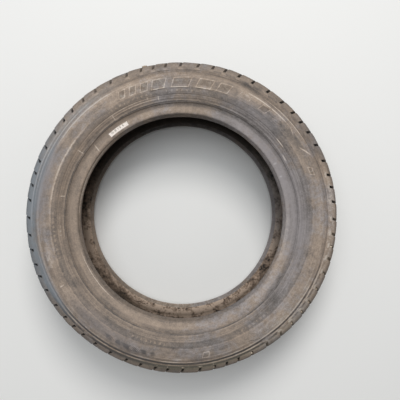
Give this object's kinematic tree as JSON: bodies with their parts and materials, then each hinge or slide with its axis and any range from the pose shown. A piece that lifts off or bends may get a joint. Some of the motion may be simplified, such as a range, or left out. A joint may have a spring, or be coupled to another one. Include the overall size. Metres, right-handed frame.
{
  "type": "worn car tyre",
  "caption": "Worn radial car tyre with no rim, lying on one sidewall, with a small paper label on the upper bead.",
  "frame": {"origin": "the middle of the circle that the tyre lies on, at the bottom of its box", "axes": "+Z is the axle line and points up out of the upper sidewall; +X and +Y lie across the tyre, with the label towards -X +Y"},
  "size_m": [0.6259, 0.626, 0.214],
  "materials": {
    "tyre": "matte",
    "label": "matte"
  },
  "bodies": {
    "root": {"tyre": "tyre", "bead_label": "label"}
  },
  "joints": []
}
